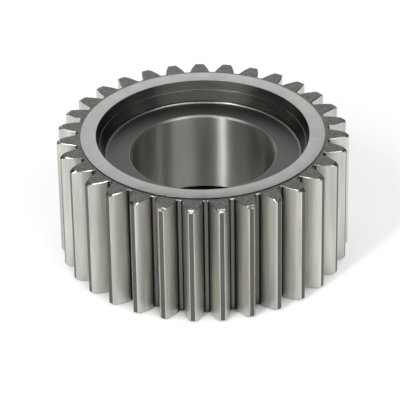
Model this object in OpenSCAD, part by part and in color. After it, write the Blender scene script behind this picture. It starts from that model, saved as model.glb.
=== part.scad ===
/* [Teeth] */
// Number of teeth
teeth_n = 31; // [27:1:60]
// Module, the pitch diameter for each tooth
gear_module = 4; // [3.5:0.25:6]
// Pressure angle of the involute flanks, in degrees
pressure_angle = 25; // [20:0.5:26]
// Height of the tooth above the pitch circle, in modules
addendum_k = 1; // [0.9:0.05:1.05]
// Depth of the tooth below the pitch circle, in modules
dedendum_k = 1.25; // [1.15:0.05:1.4]
// Radius of the fillet between flank and root
root_fillet_r = 0.9; // [0.4:0.1:1.1]
// Width of the toothed rim along the axis
face_w = 58.2; // [40:0.1:90]

/* [Tooth tips] */
// Radial length of the chamfer at each end of a tooth tip
tip_chamfer_len = 1.75; // [0.5:0.05:3]
// Axial height of the same chamfer
tip_chamfer_h = 1; // [0.3:0.05:2]

/* [Hub rings] */
// Gap between the root circle and the outer edge of the hub ring
ring_inset = 1.7; // [0.5:0.1:4]
// Width of the flat hub ring
ring_w = 7; // [5:0.1:8]
// Height of the hub ring above the end faces of the teeth
ring_rise = 0.4; // [0.2:0.1:2]

/* [Recess] */
// Depth of the upper part of the recess wall
upper_wall_h = 4.1; // [2:0.1:6]
// Depth of the lower part of the recess wall
lower_wall_h = 4.9; // [3:0.1:8]
// Slope of the recess wall from the axis, in degrees
wall_slope = 21; // [10:1:25]
// Width of the narrow ledge between the two parts of the wall
wall_ledge = 0.15; // [0.05:0.05:0.5]
// Radius of the hollow corner between the wall and the floor
floor_fillet_r = 1.1; // [0.4:0.1:2]

/* [Bore] */
// Diameter of the ground bore
bore_d = 65; // [40:0.5:68]
// Chamfer at each end of the bore
bore_chamfer = 0.8; // [0.2:0.1:1.5]

/* [Hidden] */

$fn = 180;
flank_steps = 9;
fillet_steps = 5;
// How far the recess runs on past the face of the hub ring
over = 1;
// How far the flanks run past the tip circle before the blank trims them
tip_over = 0.05;

pitch_r = gear_module * teeth_n / 2;
tip_r = pitch_r + addendum_k * gear_module;
root_r = pitch_r - dedendum_k * gear_module;
base_r = pitch_r * cos(pressure_angle);
pitch_angle = 360 / teeth_n;

total_h = face_w + 2 * ring_rise;
ring_outer_r = root_r - ring_inset;
mouth_r = ring_outer_r - ring_w;
upper_foot_r = mouth_r - upper_wall_h * tan(wall_slope);
lower_head_r = upper_foot_r - wall_ledge;
lower_foot_r = lower_head_r - lower_wall_h * tan(wall_slope);
wall_h = upper_wall_h + lower_wall_h;
floor_depth = wall_h + floor_fillet_r;
bore_r = bore_d / 2;

// Point at a radius and an angle
function polar(r, a) = [r * cos(a), r * sin(a)];

// Involute function of a pressure angle, in degrees
function involute(a) = tan(a) * 180 / PI - a;

// Half of the angle that a tooth takes up on its base circle
base_half_angle = pitch_angle / 4 + involute(pressure_angle);

// Half of the angle that a tooth takes up at a radius
function half_angle(r) = base_half_angle - involute(acos(base_r / r));

// The fillet's centre lies on the flank's parallel curve, which is the same involute turned round the base circle
fillet_centre_r = root_r + root_fillet_r;
fillet_turn = root_fillet_r / base_r * 180 / PI;
fillet_centre_a = half_angle(fillet_centre_r) + fillet_turn;
tangent_len = sqrt(pow(fillet_centre_r, 2) - pow(base_r, 2));
flank_start_r = norm([base_r, tangent_len - root_fillet_r]);
fillet_from_a = fillet_centre_a - acos(base_r / fillet_centre_r) + 270;
fillet_to_a = fillet_centre_a + 180;

// One side of a tooth that stands on the X axis, from the root to the tip
function fillet_points() = [
    for (i = [0 : fillet_steps])
        polar(fillet_centre_r, fillet_centre_a)
        + polar(root_fillet_r, fillet_to_a + (fillet_from_a - fillet_to_a) * i / fillet_steps)
];
function flank_points() = [
    for (i = [1 : flank_steps])
        let (r = flank_start_r + (tip_r + tip_over - flank_start_r) * i / flank_steps)
        polar(r, half_angle(r))
];
function side_points() = concat(fillet_points(), flank_points());

// Both sides of the tooth, the lower side first
function tooth_points() =
    let (side = side_points(), last = len(side) - 1)
    concat(
        [for (p = side) [p.x, -p.y]],
        [for (i = [0 : last]) side[last - i]]
    );

function turned(p, a) = [
    p.x * cos(a) - p.y * sin(a),
    p.x * sin(a) + p.y * cos(a)
];

// Outline of the whole toothed rim
module tooth_outline() {
    tooth = tooth_points();
    polygon([
        for (i = [0 : teeth_n - 1], p = tooth)
            turned(p, i * pitch_angle)
    ]);
}

// Turned blank that trims the tips: a disc with a chamfer at each end
module turned_blank() {
    rotate_extrude()
        polygon([
            [0, -face_w / 2],
            [tip_r - tip_chamfer_len, -face_w / 2],
            [tip_r, tip_chamfer_h - face_w / 2],
            [tip_r, face_w / 2 - tip_chamfer_h],
            [tip_r - tip_chamfer_len, face_w / 2],
            [0, face_w / 2]
        ]);
}

module toothed_rim() {
    intersection() {
        linear_extrude(height = face_w, center = true)
            tooth_outline();
        turned_blank();
    }
}

// Round core that stands above the teeth at both ends as the flat hub rings
module hub() {
    cylinder(r = ring_outer_r, h = total_h, center = true);
}

// Section of the recess, measured up from its floor
module recess_section() {
    polygon([
        [0, 0],
        [lower_foot_r - floor_fillet_r, 0],
        [lower_foot_r - floor_fillet_r, floor_fillet_r],
        [lower_foot_r, floor_fillet_r],
        [lower_head_r, floor_depth - upper_wall_h],
        [upper_foot_r, floor_depth - upper_wall_h],
        [mouth_r, floor_depth],
        [mouth_r, floor_depth + over],
        [0, floor_depth + over]
    ]);
    translate([lower_foot_r - floor_fillet_r, floor_fillet_r])
        intersection() {
            circle(r = floor_fillet_r);
            translate([0, -floor_fillet_r])
                square(floor_fillet_r);
        }
}

// Recess with its bore chamfer, with the floor at height 0
module recess() {
    rotate_extrude()
        recess_section();
    translate([0, 0, -bore_chamfer])
        cylinder(r1 = bore_r, r2 = bore_r + bore_chamfer, h = bore_chamfer);
}

// The same shape at the top and, mirrored, at the bottom, with its height 0 on the recess floor
module both_ends() {
    for (side = [0, 1])
        mirror([0, 0, side])
            translate([0, 0, total_h / 2 - floor_depth])
                children();
}

module bore() {
    cylinder(r = bore_r, h = total_h, center = true);
}

module planet_gear() {
    color("silver")
        difference() {
            union() {
                toothed_rim();
                hub();
            }
            both_ends()
                recess();
            bore();
        }
}

planet_gear();
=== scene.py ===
# %% [markdown]
# # A planet gear in ground steel
#
# The part is one piece of hardened steel: a toothed rim, a hub ring ground flat at both ends,
# a turned recess and a ground bore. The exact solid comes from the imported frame. This lesson
# models the same gear again with the small things that a render needs, such as the broken
# edges of the teeth, and gives each machined surface the finish of its own tool.

import math

import bpy
from mathutils import Matrix, Vector


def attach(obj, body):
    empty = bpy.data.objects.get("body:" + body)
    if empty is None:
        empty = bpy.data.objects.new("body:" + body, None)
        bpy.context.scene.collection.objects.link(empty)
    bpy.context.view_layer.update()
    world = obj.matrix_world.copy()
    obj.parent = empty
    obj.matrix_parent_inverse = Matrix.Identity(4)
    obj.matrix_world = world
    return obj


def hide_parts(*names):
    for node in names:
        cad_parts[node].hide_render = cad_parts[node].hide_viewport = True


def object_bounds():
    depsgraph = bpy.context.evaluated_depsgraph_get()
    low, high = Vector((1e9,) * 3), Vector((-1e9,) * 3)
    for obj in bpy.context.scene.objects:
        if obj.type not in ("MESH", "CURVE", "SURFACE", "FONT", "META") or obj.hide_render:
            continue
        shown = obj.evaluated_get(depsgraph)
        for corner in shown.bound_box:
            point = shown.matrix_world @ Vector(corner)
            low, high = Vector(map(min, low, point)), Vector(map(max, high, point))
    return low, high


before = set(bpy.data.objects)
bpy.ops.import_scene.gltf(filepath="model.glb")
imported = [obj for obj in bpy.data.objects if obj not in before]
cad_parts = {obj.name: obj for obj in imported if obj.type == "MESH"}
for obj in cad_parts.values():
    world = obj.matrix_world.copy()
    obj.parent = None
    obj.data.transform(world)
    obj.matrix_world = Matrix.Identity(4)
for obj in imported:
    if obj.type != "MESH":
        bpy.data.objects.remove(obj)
cad_low, cad_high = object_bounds()
print("nodes:", sorted(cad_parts), "box:", tuple(cad_low), tuple(cad_high))

# %% [markdown]
# ## Sizes
#
# The frame gives the two sizes that the whole gear hangs on: the tip radius, because a tooth
# stands on the X axis, and the overall height. The gear's numbers give the rest of the teeth,
# and the turned sizes are named here once. All sizes are in metres.

# %% Sizes of the teeth
MM = 0.001

teeth_n = 31
pressure_angle = math.radians(25)
dedendum_k = 1.25

tip_r = cad_high.x
total_h = cad_high.z - cad_low.z
gear_module = tip_r / (teeth_n / 2 + 1)
pitch_r = gear_module * teeth_n / 2
root_r = pitch_r - dedendum_k * gear_module
base_r = pitch_r * math.cos(pressure_angle)
pitch_angle = math.tau / teeth_n
root_fillet_r = 0.9 * MM
print(f"module {gear_module / MM:.3f} mm, tip radius {tip_r / MM:.2f} mm")

# %% Sizes of the turned surfaces
ring_rise = 0.4 * MM
ring_inset = 1.7 * MM
ring_w = 7 * MM
ring_outer_r = root_r - ring_inset
mouth_r = ring_outer_r - ring_w
face_w = total_h - 2 * ring_rise

upper_wall_h = 4.1 * MM
lower_wall_h = 4.9 * MM
wall_slope = math.radians(21)
wall_ledge = 0.15 * MM
floor_fillet_r = 1.1 * MM
upper_foot_r = mouth_r - upper_wall_h * math.tan(wall_slope)
lower_head_r = upper_foot_r - wall_ledge
lower_foot_r = lower_head_r - lower_wall_h * math.tan(wall_slope)
floor_depth = upper_wall_h + lower_wall_h + floor_fillet_r

bore_r = 32.5 * MM
bore_chamfer = 0.8 * MM
print(f"height {total_h / MM:.2f} mm, recess {floor_depth / MM:.2f} mm deep")

# %% [markdown]
# ## Camera
#
# The picture is taken with a long lens from a little above, which keeps the upright edges
# almost parallel. The camera stands on a line that rises from the middle of the upper ring
# and looks down that line. Three small turns then aim it: to the left, down and round its own
# axis.

# %% Camera
sensor_mm = 36
lens_mm = 246.94
view_azimuth = math.radians(1.987)
view_elevation = math.radians(30.786)
view_distance = 1.23965
aim_left = math.radians(0.0779)
aim_down = math.radians(1.3983)
aim_roll = math.radians(-0.9136)

camera_data = bpy.data.cameras.new("camera")
camera_data.sensor_width = sensor_mm
camera_data.lens = lens_mm
camera = bpy.data.objects.new("camera", camera_data)
bpy.context.scene.collection.objects.link(camera)
bpy.context.scene.camera = camera

ring_centre = Vector((0, 0, total_h / 2))
back = Vector((
    math.sin(view_azimuth) * math.cos(view_elevation),
    -math.cos(view_azimuth) * math.cos(view_elevation),
    math.sin(view_elevation),
))
looking_down = (-back).to_track_quat("-Z", "Y").to_matrix()
small_turns = (
    Matrix.Rotation(aim_left, 3, "Y")
    @ Matrix.Rotation(-aim_down, 3, "X")
    @ Matrix.Rotation(aim_roll, 3, "Z")
)
camera.matrix_world = (
    Matrix.Translation(ring_centre + back * view_distance)
    @ (looking_down @ small_turns).to_4x4()
)
print("camera at", tuple(round(c, 4) for c in camera.location))

# %% [markdown]
# ## Tools for the bench
#
# An edit-mode operator acts on all that is selected, so each step first clears the selection
# and then picks vertices, edges or faces by where they lie. A cut outline is drawn the way a
# hand would: one vertex is extruded from point to point.

# %% Selecting
def only(obj):
    """Makes obj the one selected object."""
    if bpy.context.mode != "OBJECT":
        bpy.ops.object.mode_set(mode="OBJECT")
    bpy.ops.object.select_all(action="DESELECT")
    obj.select_set(True)
    bpy.context.view_layer.objects.active = obj


def select(obj, kind, test):
    """Selects the vertices, edges or faces of obj that pass the test, and stays in edit mode."""
    bpy.ops.object.mode_set(mode="EDIT")
    bpy.ops.mesh.select_mode(type=kind)
    bpy.ops.mesh.select_all(action="DESELECT")
    bpy.ops.object.mode_set(mode="OBJECT")
    mesh = obj.data
    parts = {"VERT": mesh.vertices, "EDGE": mesh.edges, "FACE": mesh.polygons}[kind]
    chosen = [part for part in parts if test(part)]
    for part in chosen:
        part.select = True
    bpy.ops.object.mode_set(mode="EDIT")
    return len(chosen)


# %% Drawing
same_point = 0.002 * MM


def draw_line(name, points):
    """A new mesh object whose edges run through the points."""
    bpy.ops.object.select_all(action="DESELECT")
    bpy.ops.mesh.primitive_plane_add(size=MM)
    obj = bpy.context.object
    obj.name = name
    only(obj)
    bpy.ops.object.mode_set(mode="EDIT")
    bpy.ops.mesh.select_mode(type="VERT")
    bpy.ops.mesh.select_all(action="SELECT")
    bpy.ops.mesh.merge(type="CENTER")
    bpy.ops.transform.translate(value=points[0])
    for here, there in zip(points, points[1:]):
        bpy.ops.mesh.extrude_vertices_move(TRANSFORM_OT_translate={"value": there - here})
    return obj


def merge_all():
    """Merges the points of the mesh that lie at the same place."""
    bpy.ops.mesh.select_mode(type="VERT")
    bpy.ops.mesh.select_all(action="SELECT")
    bpy.ops.mesh.remove_doubles(threshold=same_point)


def polar(r, a, z=0.0):
    """A point at a radius, an angle and a height."""
    return Vector((r * math.cos(a), r * math.sin(a), z))


def between(start, end, steps, first=0):
    """Evenly spaced values from start to end, or from the one numbered first."""
    return [start + (end - start) * i / steps for i in range(first, steps + 1)]


# %% [markdown]
# ## One tooth
#
# The flank of a spur tooth is an involute: the curve that the end of a taut string draws as
# it unwinds from the base circle. At the root it runs into a small round fillet. The tooth
# is drawn as an outline together with its slice of the end face, filled, and extruded over
# the width of the rim.

# %% The flank's curve
def involute(a):
    """Involute function of a pressure angle."""
    return math.tan(a) - a


def half_angle(r):
    """Half of the angle that a tooth takes up at a radius."""
    return pitch_angle / 4 + involute(pressure_angle) - involute(math.acos(base_r / r))


tip_half_a = half_angle(tip_r)
print("tip width:", round(2 * tip_half_a * tip_r / MM, 2), "mm")

# %% Side of a tooth
flank_steps = 14
fillet_steps = 8

# The centre of the root fillet lies on the flank's parallel curve
fillet_centre_r = root_r + root_fillet_r
fillet_centre_a = half_angle(fillet_centre_r) + root_fillet_r / base_r
tangent_len = math.sqrt(fillet_centre_r ** 2 - base_r ** 2)
flank_start_r = math.hypot(base_r, tangent_len - root_fillet_r)
fillet_from_a = fillet_centre_a - math.acos(base_r / fillet_centre_r) + 1.5 * math.pi
fillet_to_a = fillet_centre_a + math.pi

fillet = [
    polar(fillet_centre_r, fillet_centre_a) + polar(root_fillet_r, a)
    for a in between(fillet_to_a, fillet_from_a, fillet_steps)
]
flank = [polar(r, half_angle(r)) for r in between(flank_start_r, tip_r, flank_steps, first=1)]
side = [polar(root_r, pitch_angle / 2)] + fillet + flank
print("flank from radius", round(flank_start_r / MM, 2), "to", round(tip_r / MM, 2), "mm")

# %% Outline, fill and extrude
land_steps = 4
slice_steps = 8

land = [polar(tip_r, a) for a in between(-tip_half_a, tip_half_a, land_steps, first=1)][:-1]
slice_arc = [
    polar(ring_outer_r, a)
    for a in between(pitch_angle / 2, -pitch_angle / 2, slice_steps)
]
outline = [Vector((p.x, -p.y, 0)) for p in side] + land + side[::-1] + slice_arc

down = Vector((0, 0, -face_w / 2))
tooth = draw_line("tooth", [p + down for p in outline])
bpy.ops.mesh.select_all(action="SELECT")
bpy.ops.mesh.edge_face_add()
bpy.ops.mesh.extrude_region_move(TRANSFORM_OT_translate={"value": (0, 0, face_w)})
bpy.ops.mesh.select_all(action="SELECT")
bpy.ops.mesh.normals_make_consistent(inside=False)
print("outline points:", len(outline))

# %% [markdown]
# The two long edges of the tip are broken by a very small radius, which shows as a bright
# line on each side of the dark tip. The tip is then cut back at both ends by the lathe's
# chamfer, a plane through the corner of the blank.

# %% Tip edges
tip_edge_r = 0.3 * MM
tip_edge_segments = 3
near = 0.01 * MM


def ends(edge):
    """The two end points of an edge of the tooth."""
    return [tooth.data.vertices[i].co for i in edge.vertices]


def long_tip_edge(edge):
    a, b = ends(edge)
    upright = abs(a.z - b.z) > face_w / 2
    corner = abs(abs(math.atan2(a.y, a.x)) - tip_half_a) * tip_r < near
    return upright and corner and abs(a.xy.length - tip_r) < near


found = select(tooth, "EDGE", long_tip_edge)
bpy.ops.mesh.bevel(offset=tip_edge_r, segments=tip_edge_segments, affect="EDGES")
print("long tip edges broken:", found)

# %% Tip chamfers
tip_chamfer_len = 1.75 * MM
tip_chamfer_h = 1.0 * MM
on_plane = near / 10

for up in (1, -1):
    bpy.ops.mesh.select_all(action="SELECT")
    bpy.ops.mesh.bisect(
        plane_co=(tip_r, 0, up * (face_w / 2 - tip_chamfer_h)),
        plane_no=Vector((tip_chamfer_h, 0, up * tip_chamfer_len)).normalized(),
        threshold=on_plane,
        use_fill=True,
        clear_outer=True,
    )
print("tip chamfers:", tip_chamfer_len / MM, "by", tip_chamfer_h / MM, "mm")

# %% [markdown]
# After the teeth are cut, a deburring wheel runs round both ends of the profile and leaves
# a narrow chamfer on flanks, fillets and roots. On the mesh it is one bevel of every edge
# where an end face or a tip chamfer meets the side of the tooth.

# %% Deburred profile edges
deburr = 0.28 * MM
slice_end = math.radians(0.01)
tip_rounding = 5 * near


def at_slice_side(p):
    return abs(abs(math.atan2(p.y, p.x)) - pitch_angle / 2) < slice_end


def on_tip_chamfer(p):
    rise = abs(p.z) - (face_w / 2 - tip_chamfer_h)
    off_plane = abs(tip_chamfer_h * (p.x - tip_r) + tip_chamfer_len * rise)
    return off_plane < near * tip_chamfer_len


def profile_edge(edge):
    a, b = ends(edge)
    on_end_face = abs(a.z + b.z) > face_w - near
    on_slice_side = at_slice_side(a) and at_slice_side(b)
    on_slice_arc = max(a.xy.length, b.xy.length) < ring_outer_r + near
    on_tip_cut = min(a.x, b.x) > tip_r - tip_chamfer_len - near and abs(a.x - b.x) < near
    beside_tip = min(abs(a.y), abs(b.y)) > tip_half_a * tip_r + tip_rounding
    same_end = a.z * b.z > 0 and not on_end_face
    beside_chamfer = same_end and beside_tip and on_tip_chamfer(a) and on_tip_chamfer(b)
    return beside_chamfer or (on_end_face and not (on_slice_side or on_slice_arc or on_tip_cut))


found = select(tooth, "EDGE", profile_edge)
bpy.ops.mesh.bevel(offset=deburr, segments=1, affect="EDGES", clamp_overlap=False)
print("profile edges deburred:", found)

# %% [markdown]
# The slice has three faces that only meet its neighbours and the hub. They are taken away,
# and the open tooth is copied round the axis, so that one merge joins all of them.

# %% All teeth
upright_normal = 0.9


def inside_face(face):
    upright = face.normal.xy.length > upright_normal
    return upright and (
        at_slice_side(face.center) or face.center.xy.length < ring_outer_r + near
    )


bpy.ops.object.mode_set(mode="OBJECT")
found = select(tooth, "FACE", inside_face)
bpy.ops.mesh.delete(type="FACE")
bpy.ops.mesh.select_all(action="SELECT")
bpy.ops.mesh.spin(
    steps=teeth_n - 1,
    dupli=True,
    angle=math.tau - pitch_angle,
    center=(0, 0, 0),
    axis=(0, 0, 1),
)
merge_all()
bpy.ops.object.mode_set(mode="OBJECT")
print("inside faces removed:", found, "rim faces:", len(tooth.data.polygons))

# %% [markdown]
# ## The turned hub
#
# Ring, recess and bore are turned and ground round one axis, so they are one section spun
# round it. The section keeps the small things that catch the light: the broken edges of the
# ring, the narrow rounded ledge in the recess wall, the hollow corner at its foot and the
# rounded mouth of the bore. Beside each rounded corner stands one more point on the straight
# wall or floor. It holds the smooth shading of the corner back, which would otherwise tilt
# the light over the whole wall.

# %% Points of the section
slope = math.tan(wall_slope)


def at(r, depth):
    """A point of the section at a radius and a depth below the ring's face."""
    return Vector((r, 0, total_h / 2 - depth))


def down_wall(r, depth, drop):
    """The point of the sloping wall that lies a drop below the wall's point at r and depth."""
    return at(r - drop * slope, depth + drop)


def round_edge(centre_r, centre_depth, radius, start, end, steps):
    """An arc in the section, with its angles in degrees from the outward radius upwards."""
    return [
        at(centre_r + radius * math.cos(a), centre_depth - radius * math.sin(a))
        for a in between(math.radians(start), math.radians(end), steps)
    ]


# %% Edges of the ring and the ledge
edge_steps = 3
corner_hold = 0.1 * MM
ring_edge = 0.06 * MM
mouth_edge = 0.08 * MM
ledge_edge = 0.15 * MM

ledge_centre_r = lower_head_r + ledge_edge * (1 - math.sin(wall_slope)) / math.cos(wall_slope)
ledge_depth = upper_wall_h + ledge_edge
ledge_end = 180 - math.degrees(wall_slope)
ring_section = (
    [at(ring_outer_r, ring_rise)]
    + round_edge(ring_outer_r - ring_edge, ring_edge, ring_edge, 0, 90, edge_steps)
    + [at(mouth_r + mouth_edge, 0), down_wall(mouth_r, 0, mouth_edge)]
    + [down_wall(mouth_r, 0, mouth_edge + corner_hold), at(upper_foot_r, upper_wall_h)]
    + round_edge(ledge_centre_r, ledge_depth, ledge_edge, 90, ledge_end, edge_steps)
    + [down_wall(lower_head_r, upper_wall_h, ledge_edge + corner_hold)]
)
print("points from the ring to the ledge:", len(ring_section))

# %% Recess floor and bore
corner_steps = 8
hollow_start = -5
bore_edge = 0.3 * MM
chamfer_turn = 45

wall_foot = upper_wall_h + lower_wall_h
hollow_r = lower_foot_r - floor_fillet_r
chamfer_r = bore_r + bore_chamfer + bore_edge * math.tan(math.radians(chamfer_turn / 2))
chamfer_end = 90 + chamfer_turn
floor_section = (
    [down_wall(lower_foot_r, wall_foot, -corner_hold), at(lower_foot_r, wall_foot)]
    + round_edge(hollow_r, wall_foot, floor_fillet_r, hollow_start, -90, corner_steps)
    + [at(hollow_r - corner_hold, floor_depth), at(chamfer_r + corner_hold, floor_depth)]
    + round_edge(chamfer_r, floor_depth + bore_edge, bore_edge, 90, chamfer_end, edge_steps)
    + [at(bore_r, floor_depth + bore_chamfer)]
)
print("points from the wall's foot to the bore:", len(floor_section))

# %% Spin the section
spin_steps = teeth_n * slice_steps

upper_half = ring_section + floor_section
lower_half = [Vector((p.x, 0, -p.z)) for p in upper_half[::-1]]
hub = draw_line("hub", upper_half + lower_half)
bpy.ops.mesh.select_all(action="SELECT")
bpy.ops.mesh.spin(steps=spin_steps, angle=math.tau, center=(0, 0, 0), axis=(0, 0, 1))
merge_all()
bpy.ops.object.mode_set(mode="OBJECT")
print("section points:", len(upper_half) * 2, "hub faces:", len(hub.data.polygons))

# %% [markdown]
# ## One solid
#
# Rim and hub are joined and merged into one closed skin. The hub's rings meet the slices of
# the end face point for point, because both are divided into the same steps. Smooth shading
# then runs over the rounds and flanks, whose steps turn less than the limit, and stops at
# the real edges.

# %% Join rim and hub
only(tooth)
hub.select_set(True)
bpy.ops.object.join()
gear = tooth
gear.name = "planet_gear_finished"
gear.data.name = "planet_gear_finished"
bpy.ops.object.mode_set(mode="EDIT")
merge_all()
bpy.ops.mesh.normals_make_consistent(inside=False)
bpy.ops.mesh.select_all(action="DESELECT")
bpy.ops.mesh.select_mode(type="VERT")
bpy.ops.mesh.select_non_manifold()
bpy.ops.object.mode_set(mode="OBJECT")
open_points = sum(v.select for v in gear.data.vertices)
triangles = sum(len(p.vertices) - 2 for p in gear.data.polygons)
print("open points:", open_points, "triangles:", triangles)

# %% Smooth the rounds
smooth_limit = math.radians(22.5)

only(gear)
bpy.ops.object.shade_smooth_by_angle(angle=smooth_limit)
print("smooth faces:", sum(p.use_smooth for p in gear.data.polygons))

# %% [markdown]
# ## Writing a material as sums
#
# A finish is a set of small formulas: a noise here, a mask there, a blend of two greys. The
# class below wraps a socket, so that such a formula is written with plus and times, and has
# one method for every other kind of node.

# %% A socket that takes part in sums
class Wire:
    """A socket of a shader tree that Python's operators work on."""

    def __init__(self, tree, socket=None):
        self.tree = tree
        self.socket = socket

    def node(self, kind, settings=None, sockets=None, out=0):
        """Adds a node with its settings, then the values or links of its sockets."""
        made = self.tree.nodes.new(kind)
        for name, value in (settings or {}).items():
            setattr(made, name, value)
        for name, value in (sockets or {}).items():
            if isinstance(value, Wire):
                self.tree.links.new(value.socket, made.inputs[name])
            else:
                made.inputs[name].default_value = value
        return Wire(self.tree, made.outputs[out])

    def math(self, operation, *values):
        """Adds a Math node for the operation on the values."""
        sockets = dict(enumerate(values))
        return self.node("ShaderNodeMath", {"operation": operation}, sockets)

    def __add__(self, other):
        return self.math("ADD", self, other)

    def __sub__(self, other):
        return self.math("SUBTRACT", self, other)

    def __mul__(self, other):
        return self.math("MULTIPLY", self, other)

    def __truediv__(self, other):
        return self.math("DIVIDE", self, other)

    def __pow__(self, other):
        return self.math("POWER", self, other)

    def __radd__(self, other):
        return self.math("ADD", other, self)

    def __rsub__(self, other):
        return self.math("SUBTRACT", other, self)

    def __rmul__(self, other):
        return self.math("MULTIPLY", other, self)

    def __rtruediv__(self, other):
        return self.math("DIVIDE", other, self)


# %% [markdown]
# ## Places on the gear
#
# Every tool mark on a turned or ground part follows the axis: rings at a fixed radius, lines
# at a fixed angle, or grain along the height. So the object's coordinates are split into the
# radius, the direction round the axis and the height, and each noise stretches one of them.

# %% Coordinates for tool marks
mark_detail = 3


class Places:
    """The object's coordinates in metres, split for round parts."""

    def __init__(self, tree):
        start = Wire(tree)
        self.point = start.node("ShaderNodeTexCoord", out="Object")
        self.x, self.y, self.z = (
            start.node("ShaderNodeSeparateXYZ", sockets={"Vector": self.point}, out=axis)
            for axis in "XYZ"
        )
        self.radius = (self.x * self.x + self.y * self.y) ** 0.5
        self.start = start

    def vector(self, x, y, z):
        return self.start.node("ShaderNodeCombineXYZ", sockets={"X": x, "Y": y, "Z": z})

    def noise(self, vector, scale=1.0, detail=2.0, rough=0.5):
        sockets = {"Vector": vector, "Scale": scale, "Detail": detail, "Roughness": rough}
        return self.start.node("ShaderNodeTexNoise", sockets=sockets, out="Fac")

    def round_axis(self, fine, along):
        """Marks that run round the axis, fine in the direction of the value given."""
        turn_x = self.x / self.radius * along
        turn_y = self.y / self.radius * along
        return self.noise(self.vector(turn_x, turn_y, fine), detail=mark_detail)

    def rings(self, per_metre, along=8.0):
        """Marks on a flat face: fine across the radius, long round the axis."""
        return self.round_axis(self.radius * per_metre, along)

    def hoops(self, per_metre, along=8.0):
        """Marks round a bore or a wall: fine along the height, long round the axis."""
        return self.round_axis(self.z * per_metre, along)

    def upright(self, per_metre, along=20.0):
        """Marks that run with the axis, as a grinding stroke leaves them."""
        across = self.vector(self.x * per_metre, self.y * per_metre, self.z * along)
        return self.noise(across, detail=mark_detail)

    def grain(self, per_metre, detail=4):
        """Grain without a direction."""
        return self.noise(self.point, scale=per_metre, detail=detail)

    def strong(self, noise, low=0.35, high=0.65):
        """Spreads the middle of a noise over the whole range."""
        sockets = {"Value": noise, "From Min": low, "From Max": high}
        return self.start.node("ShaderNodeMapRange", sockets=sockets)


# %% [markdown]
# ## Finishes
#
# All finishes are bare metal. They differ in how bright the steel is, how rough it is and
# which way its marks run. One function lays a finish from those, and each surface of the
# gear then names its own numbers. The pattern blends the dark colour into the light one and
# swings the roughness with it.

# %% Laying a finish
MICRON = 1e-6
quarter_turn = 0.25
half_pattern = 0.5


def mix(start, factor, low, high):
    """A colour between two colours. Sockets 6 and 7 and output 2 are the node's colour ones."""
    settings = {"data_type": "RGBA"}
    sockets = {0: factor, 6: (*low, 1), 7: (*high, 1)}
    return start.node("ShaderNodeMix", settings, sockets, out=2)


def finish(name, dark, light, pattern, rough, rough_swing, bump, bump_depth, stretch=0.0):
    """A steel finish: a pattern blends two colours, and drives roughness and bump.

    stretch draws the gloss out across tool marks that run round the axis."""
    material = bpy.data.materials.new(name)
    material.use_nodes = True
    tree = material.node_tree
    shader = tree.nodes["Principled BSDF"]
    places = Places(tree)
    start = places.start
    shade = pattern(places)
    colour = mix(start, shade, dark, light)
    roughness = rough + (shade - half_pattern) * rough_swing
    sockets = {"Height": bump(places), "Strength": 1.0, "Distance": bump_depth}
    lift = start.node("ShaderNodeBump", sockets=sockets)
    tree.links.new(colour.socket, shader.inputs["Base Color"])
    tree.links.new(roughness.socket, shader.inputs["Roughness"])
    tree.links.new(lift.socket, shader.inputs["Normal"])
    shader.inputs["Metallic"].default_value = 1.0
    shader.inputs["Anisotropic"].default_value = stretch
    shader.inputs["Anisotropic Rotation"].default_value = quarter_turn if stretch else 0.0
    print(name, "from", dark, "to", light, "with", len(tree.nodes), "nodes")
    return material


# %% [markdown]
# The grinding wheel leaves the brightest steel. On the ring its marks are rings, with a soft
# cloud of wear over them. On the flanks they are upright streaks, and the light ones are a
# little warmer. The bore has one thing more: its honing marks run round the axis, so its
# gloss is drawn out along the height, and a lamp shows in it as a tall stripe.

# %% Ground surfaces
ground_ring = finish(
    "ground_ring",
    dark=(0.26, 0.26, 0.25),
    light=(0.36, 0.36, 0.35),
    pattern=lambda p: p.strong(p.rings(2600), 0.2, 0.8) * 0.5 + p.strong(p.grain(150)) * 0.5,
    rough=0.3,
    rough_swing=0.08,
    bump=lambda p: p.rings(6000),
    bump_depth=2 * MICRON,
)
ground_flank = finish(
    "ground_flank",
    dark=(0.445, 0.448, 0.426),
    light=(0.685, 0.672, 0.615),
    pattern=lambda p: p.strong(p.upright(500)) * 0.4 + p.strong(p.upright(200, 22)) * 0.6,
    rough=0.36,
    rough_swing=0.1,
    bump=lambda p: p.upright(2500),
    bump_depth=2 * MICRON,
)
ground_bore = finish(
    "ground_bore",
    dark=(0.36, 0.36, 0.34),
    light=(0.49, 0.49, 0.464),
    pattern=lambda p: p.strong(p.upright(150)) * 0.5 + p.grain(2200, 2) * 0.5,
    rough=0.34,
    rough_swing=0.03,
    bump=lambda p: p.hoops(3000),
    bump_depth=1 * MICRON,
    stretch=1.0,
)
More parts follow.
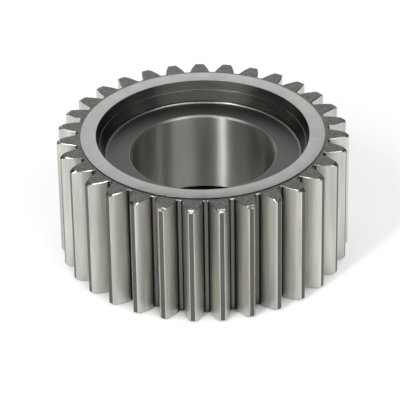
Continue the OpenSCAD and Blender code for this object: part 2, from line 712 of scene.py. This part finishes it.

# %% [markdown]
# The lathe leaves darker steel with marks that run round the axis. The low outer wall of the
# ring is coloured almost black: partly its own turned steel, partly painted shade for the dark
# line under the ring's edge. The end faces of the teeth look like fine sand, because the cut
# is broken at every gap. The tip chamfers are patchy for the same reason: the tool knocks into
# one tooth after another.

# %% Turned surfaces
# Painted shade: the ring's low outer wall is coloured almost black, for the dark line under the
# ring's edge.
ring_wall_painted_shade = finish(
    "ring_wall_painted_shade",
    dark=(0.02, 0.02, 0.02),
    light=(0.05, 0.05, 0.048),
    pattern=lambda p: p.rings(900),
    rough=0.5,
    rough_swing=0.1,
    bump=lambda p: p.hoops(3000),
    bump_depth=3 * MICRON,
)
end_face_steel = finish(
    "end_face",
    dark=(0.055, 0.057, 0.052),
    light=(0.155, 0.16, 0.147),
    pattern=lambda p: p.strong(p.grain(1500, 2), 0.38, 0.62),
    rough=0.42,
    rough_swing=0.08,
    bump=lambda p: p.grain(3000),
    bump_depth=10 * MICRON,
)
turned_tip = finish(
    "turned_tip",
    dark=(0.09, 0.088, 0.08),
    light=(0.15, 0.148, 0.135),
    pattern=lambda p: p.grain(1200),
    rough=0.38,
    rough_swing=0.1,
    bump=lambda p: p.hoops(3000),
    bump_depth=4 * MICRON,
)
turned_chamfer = finish(
    "turned_chamfer",
    dark=(0.13, 0.13, 0.125),
    light=(0.52, 0.52, 0.51),
    pattern=lambda p: p.strong(p.grain(700, 2), 0.38, 0.62),
    rough=0.22,
    rough_swing=0.08,
    bump=lambda p: p.hoops(3000),
    bump_depth=3 * MICRON,
)

# %% Recess
recess_steel = finish(
    "recess_steel",
    dark=(0.07, 0.07, 0.064),
    light=(0.105, 0.105, 0.096),
    pattern=lambda p: p.strong(p.hoops(3500, 3)),
    rough=0.26,
    rough_swing=0.04,
    bump=lambda p: p.hoops(4000),
    bump_depth=2 * MICRON,
)
floor_steel = finish(
    "floor_steel",
    dark=(0.07, 0.07, 0.066),
    light=(0.092, 0.092, 0.087),
    pattern=lambda p: p.rings(2500),
    rough=0.38,
    rough_swing=0.04,
    bump=lambda p: p.rings(4000),
    bump_depth=2 * MICRON,
)

# %% [markdown]
# The cutter that made the teeth leaves upright marks in roots and fillets. The grinding
# wheel doesn't reach them, so they keep a dark skin. The fillets are coloured almost black
# as well: that is painted shade, the dark line in the hollow between two teeth.

# %% Between the teeth
root_steel = finish(
    "root_steel",
    dark=(0.08, 0.08, 0.076),
    light=(0.17, 0.17, 0.162),
    pattern=lambda p: p.upright(400),
    rough=0.36,
    rough_swing=0.1,
    bump=lambda p: p.upright(1500),
    bump_depth=3 * MICRON,
)
# Painted shade: the fillet's almost black colour draws the dark line deep between the teeth.
fillet_painted_shade = finish(
    "fillet_painted_shade",
    dark=(0.01, 0.01, 0.01),
    light=(0.03, 0.03, 0.028),
    pattern=lambda p: p.upright(400),
    rough=0.4,
    rough_swing=0.1,
    bump=lambda p: p.upright(1500),
    bump_depth=3 * MICRON,
)

# %% [markdown]
# Broken edges are all worked with the same grit, and differ in colour and gloss alone: some
# are polished bright, and others are dull. Two of them carry painted light: a darker copy gives
# painted shade on one side of each tooth, and a brighter one draws painted highlight lines in
# the recess and at the mouth of the bore.

# %% Broken edges
def edge_finish(name, dark, light, rough):
    """A finish for a broken edge, with fine grain."""
    return finish(
        name,
        dark,
        light,
        pattern=lambda p: p.grain(900),
        rough=rough,
        rough_swing=0.08,
        bump=lambda p: p.grain(2500),
        bump_depth=2 * MICRON,
    )


chamfer_steel = edge_finish("chamfer_steel", (0.36, 0.36, 0.35), (0.52, 0.52, 0.51), 0.2)
# Painted shade: a darker copy of the bright edge finish, laid on one side of each tooth.
painted_shade_edge = edge_finish("painted_shade_edge", (0.18, 0.18, 0.175), (0.28, 0.28, 0.27), 0.24)
# Painted highlight: a brighter steel on the ledge, the hollow corner and the bore's mouth draws
# their light lines.
painted_highlight_edge = edge_finish("painted_highlight_edge", (0.20, 0.20, 0.195), (0.29, 0.29, 0.28), 0.32)
root_edge = edge_finish("root_edge", (0.14, 0.14, 0.135), (0.24, 0.24, 0.23), 0.14)

# %% [markdown]
# ## Which surface has which finish
#
# Each face is asked for its radius, its height and the way it looks. The list goes from the
# particular to the general, and the first finish whose test a face passes is laid on it.
# The fillet's almost black painted shade runs a little way up the foot of each flank. On one
# side of each tooth the broken edges get a darker copy of the bright edge finish, which is
# painted shade. In the recess the ledge and the hollow corner, and the mouth of the bore, get a
# brighter steel than the faces round them: painted highlight lines, on top of the real gloss.

# %% Tests for the surfaces
end_z = face_w / 2
ring_z = total_h / 2
floor_z = total_h / 2 - floor_depth
# Painted shade: the fillet's almost black colour runs this far up the foot of each flank.
painted_shade_rise = 0.2 * MM

# How far a face looks up or down, from 0 for an upright face to 1 for a level one
level = 0.99
nearly_level = 0.94
tip_chamfer_lean = 0.8
hollow_lean = 0.6
edge_lean = 0.5
ledge_lean = 0.45
nearly_upright = 0.2
# How far the tip looks away from the axis
tip_outward = 0.97


def surface_tests(r, z, outward, lean, clockwise):
    """Finishes with their tests, from the particular to the general.

    outward is how far a face looks away from the axis, lean how far up or down, and clockwise
    says on which side of its tooth it lies."""
    return [
        (ground_ring, z > ring_z - near and lean > level),
        # Painted shade: the ring's low outer wall gets the almost black steel.
        (ring_wall_painted_shade, z > end_z + near and r > ring_outer_r - near),
        (ground_ring, z > end_z + near and r > mouth_r - mouth_edge),
        (turned_tip, r > tip_r - 2 * near and outward > tip_outward and lean < nearly_upright),
        (end_face_steel, r > ring_outer_r and lean > level),
        (turned_chamfer, r > tip_r - tip_chamfer_len and lean > tip_chamfer_lean),
        # Painted shade: the darker edge copy goes on one side of each tooth.
        (painted_shade_edge, r > flank_start_r and lean > edge_lean and clockwise),
        (chamfer_steel, r > flank_start_r and lean > edge_lean),
        (root_edge, r > root_r - deburr and lean > edge_lean),
        (root_steel, r > ring_outer_r and r < root_r + near),
        # Painted shade: almost black fillets, and the foot of each flank above them.
        (fillet_painted_shade, r > ring_outer_r and r < flank_start_r + painted_shade_rise),
        (ground_flank, r > ring_outer_r),
        # Painted highlight: the rounded mouth of the bore gets the brighter edge steel.
        (painted_highlight_edge, r < chamfer_r and lean > edge_lean),
        (ground_bore, r < bore_r + near),
        (floor_steel, z < floor_z + near),
        # Painted highlight: the rounded ledge and the part of the hollow corner that catches
        # light get the brighter edge steel.
        (painted_highlight_edge, r > lower_head_r - ledge_edge and ledge_lean < lean < nearly_level),
        (painted_highlight_edge, r < lower_foot_r and hollow_lean < lean < nearly_level),
        (recess_steel, True),
    ]


# %% Lay the finishes on the faces
finishes = [
    ground_ring, ring_wall_painted_shade, end_face_steel, ground_flank, turned_tip, root_steel,
    fillet_painted_shade, turned_chamfer, chamfer_steel, painted_shade_edge, painted_highlight_edge, root_edge, recess_steel,
    floor_steel, ground_bore,
]
gear.data.materials.clear()
for material in finishes:
    gear.data.materials.append(material)
counts = {material.name: 0 for material in finishes}
for face in gear.data.polygons:
    r = face.center.xy.length
    outward = face.normal.xy.dot(face.center.xy) / r
    from_middle = math.remainder(math.atan2(face.center.y, face.center.x), pitch_angle)
    tests = surface_tests(r, abs(face.center.z), outward, abs(face.normal.z), from_middle < 0)
    chosen = next(material for material, passed in tests if passed)
    face.material_index = finishes.index(chosen)
    counts[chosen.name] += 1
print("faces per finish:", counts)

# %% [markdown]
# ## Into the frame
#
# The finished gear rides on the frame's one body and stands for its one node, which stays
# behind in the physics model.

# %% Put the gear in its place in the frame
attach(gear, "root")
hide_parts("planet_gear")
print(gear.name, "stands at", tuple(gear.location))

# %% [markdown]
# ## Studio
#
# The gear stands on a white table in a dim, plain room. The table is white because of its own
# colour and a glow that only the camera and mirrored or passing rays see. The glow ends under
# the gear, where a real table is dark.

# %% Table
table_size = 6
table_grey = 0.42
table_rough = 0.9
table_glow = 0.5

bpy.ops.object.select_all(action="DESELECT")
bpy.ops.mesh.primitive_plane_add(size=table_size, location=(0, 0, -total_h / 2))
table = bpy.context.object
table.name = "studio_table"

white = bpy.data.materials.new("studio_white")
white.use_nodes = True
table_shader = white.node_tree.nodes["Principled BSDF"]
table_shader.inputs["Base Color"].default_value = (table_grey, table_grey, table_grey, 1)
table_shader.inputs["Roughness"].default_value = table_rough
table_shader.inputs["Emission Color"].default_value = (1, 1, 1, 1)
ray = Wire(white.node_tree)
seen, glossy, through = (
    ray.node("ShaderNodeLightPath", out=kind)
    for kind in ("Is Camera Ray", "Is Glossy Ray", "Is Transmission Ray")
)
from_gear = Places(white.node_tree).radius
edge_sockets = {"Value": from_gear, "From Min": root_r, "From Max": tip_r}
open_table = ray.node("ShaderNodeMapRange", sockets=edge_sockets)
looked_at = ray.math("MAXIMUM", ray.math("MAXIMUM", seen, glossy), through)
glow = looked_at * open_table * table_glow
white.node_tree.links.new(glow.socket, table_shader.inputs["Emission Strength"])
table.data.materials.append(white)
print("table at height", round(table.location.z / MM, 2), "mm")

# %% [markdown]
# Bare steel shows what it mirrors, so nearly all lamps are large and soft, and each is there
# for a surface. The overhead lamp shows in the hollow corner of the recess and in the tip
# chamfers. The back lamp stands low behind the gear, where the flat ring and the end faces
# mirror it. The front lamp is wide and low and lifts the recess. The left and right lamps
# light the bore and the deburred edges from their own side, and the edge lamp those at the
# back left. The strip lamp is narrow and bright: it is the stripe in the bore. A lamp's power
# is worked out from how bright its face should look, with white as 1.

# %% Room and lamps
room_light = 0.18

room = bpy.data.worlds.new("studio_room")
bpy.context.scene.world = room
room.use_nodes = True
room.node_tree.nodes["Background"].inputs["Color"].default_value = (1, 1, 1, 1)
room.node_tree.nodes["Background"].inputs["Strength"].default_value = room_light


def soft_lamp(name, place, width, height, brightness):
    """A soft lamp that looks at the middle of the gear, its face as bright as given."""
    data = bpy.data.lights.new(name, "AREA")
    data.shape = "RECTANGLE"
    data.size = width
    data.size_y = height
    data.energy = brightness * math.pi * width * height
    lamp = bpy.data.objects.new(name, data)
    bpy.context.scene.collection.objects.link(lamp)
    lamp.location = place
    lamp.rotation_euler = (-Vector(place)).to_track_quat("-Z", "Y").to_euler()
    print(name, "gives", round(data.energy, 2), "W")


soft_lamp("overhead_lamp", (0, 0.1, 1.1), 0.7, 0.7, 1.8)
soft_lamp("back_lamp", (-0.05, 0.42, 0.22), 0.42, 0.44, 1.22)
soft_lamp("front_lamp", (0, -1.2, 0.25), 3.0, 0.3, 1.0)
soft_lamp("left_lamp", (-0.61, -0.37, 0.83), 0.6, 0.32, 2.2)
soft_lamp("right_lamp", (0.46, -0.59, 0.75), 0.6, 0.6, 5.0)
soft_lamp("edge_lamp", (-0.55, 0.62, 0.14), 0.3, 0.25, 1.2)
soft_lamp("strip_lamp", (-0.406, -0.65, 0.643), 0.1, 0.45, 52.0)

bpy.context.scene.view_settings.view_transform = "Standard"
